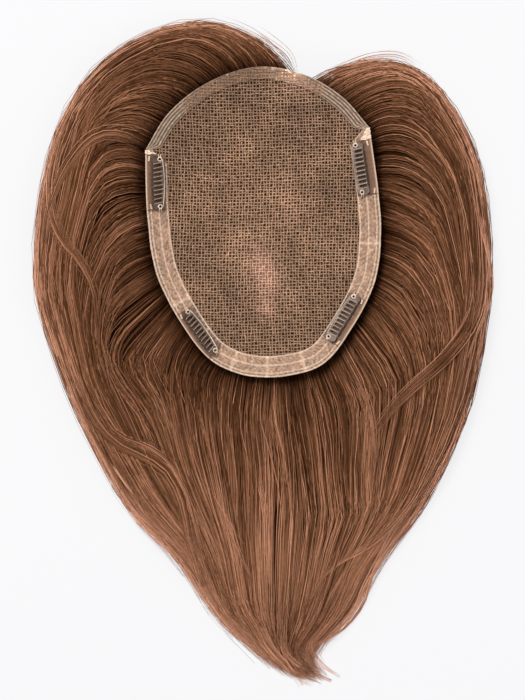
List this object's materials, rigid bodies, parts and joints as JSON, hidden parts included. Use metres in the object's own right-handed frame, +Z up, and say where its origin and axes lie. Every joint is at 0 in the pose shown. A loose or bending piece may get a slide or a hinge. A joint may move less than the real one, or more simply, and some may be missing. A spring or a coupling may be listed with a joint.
{
  "type": "hair topper (toupee hairpiece) lying inside-up on its own hair",
  "caption": "Long-haired topper lying inside-up: a net bowl edged in ribbon, with snap combs on satin pads, on hair that sweeps into one tail.",
  "frame": {"origin": "on the surface that the hair lies on, under the middle of the whole piece", "axes": "+Y from the tail towards the front edge of the base, +X to the right as seen from above, +Z up out of the bowl"},
  "size_m": [0.2858, 0.4074, 0.0454],
  "materials": {
    "hair": "mid brown hair with coppery lights",
    "net": "fine beige-brown net",
    "ribbon": "beige lace ribbon, matt",
    "satin": "brown satin tape",
    "steel": "tinted spring steel"
  },
  "bodies": {
    "root": {"hair": "hair", "net_base": "net", "ribbon_band": "ribbon", "front_edge": "ribbon", "corner_tab_left": "ribbon", "corner_tab_right": "ribbon", "clip_pad_upper_left": "satin", "clip_pad_lower_left": "satin", "clip_pad_lower_right": "satin", "clip_pad_upper_right": "satin", "snap_comb_upper_left": "steel", "snap_comb_lower_left": "steel", "snap_comb_lower_right": "steel", "snap_comb_upper_right": "steel"}
  },
  "joints": []
}
